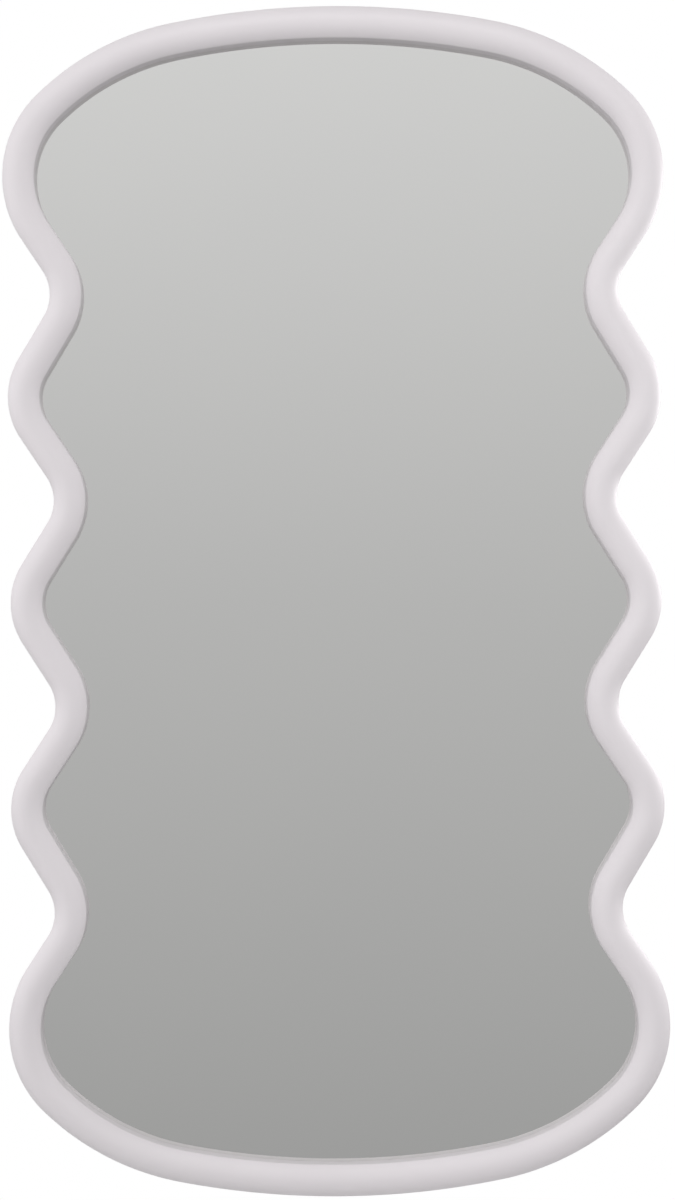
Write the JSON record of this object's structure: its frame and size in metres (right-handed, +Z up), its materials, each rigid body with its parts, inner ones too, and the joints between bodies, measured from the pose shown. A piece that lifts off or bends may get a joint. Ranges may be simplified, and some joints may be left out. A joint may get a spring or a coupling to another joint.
{
  "type": "wavy mirror",
  "caption": "Tall wall mirror in a painted frame with rounded ends and wavy sides, hung by two swinging rings behind it.",
  "frame": {"origin": "middle of the mirror on the wall plane, which is the plane of the four bumpers' faces", "axes": "+Z up the mirror, -Y the way the glass faces, +Y into the wall, +X to the right as seen from the front"},
  "size_m": [0.5, 0.031, 0.9],
  "materials": {
    "frame_paint": "satin lilac-white lacquer on medium-density fibreboard",
    "dowel_beech": "bare beech",
    "silvered_glass": "polished, silvered on the back",
    "foam_tape": "white double-sided foam tape",
    "back_board": "bare brown hardboard",
    "zinc_screw": "bright zinc plate",
    "hanger_steel": "nickel-plated sheet and wire",
    "bumper_rubber": "matt black rubber"
  },
  "bodies": {
    "mirror": {"frame_top": "frame_paint", "frame_bottom": "frame_paint", "frame_left": "frame_paint", "frame_right": "frame_paint", "dowels_top_left": "dowel_beech", "dowels_top_right": "dowel_beech", "dowels_bottom_left": "dowel_beech", "dowels_bottom_right": "dowel_beech", "mirror_glass": "silvered_glass", "foam_tape_left": "foam_tape", "foam_tape_middle": "foam_tape", "foam_tape_right": "foam_tape", "back_board": "back_board", "board_screws": "zinc_screw", "hanger_strap_left": "hanger_steel", "hanger_strap_right": "hanger_steel", "hanger_screws_left": "zinc_screw", "hanger_screws_right": "zinc_screw", "bumper_top_left": "bumper_rubber", "bumper_top_right": "bumper_rubber", "bumper_bottom_left": "bumper_rubber", "bumper_bottom_right": "bumper_rubber"},
    "ring_left": {"hanger_ring_left": "hanger_steel"},
    "ring_right": {"hanger_ring_right": "hanger_steel"}
  },
  "joints": [
    {"name": "ring_left_swing", "type": "hinge", "parent": "mirror", "child": "ring_left", "pos_m": [-0.20283, -0.00322, 0.2505], "axis": [-1, 0, 0], "range_deg": [0, 182]},
    {"name": "ring_right_swing", "type": "hinge", "parent": "mirror", "child": "ring_right", "pos_m": [0.20283, -0.00322, 0.2505], "axis": [-1, 0, 0], "range_deg": [0, 182]}
  ]
}
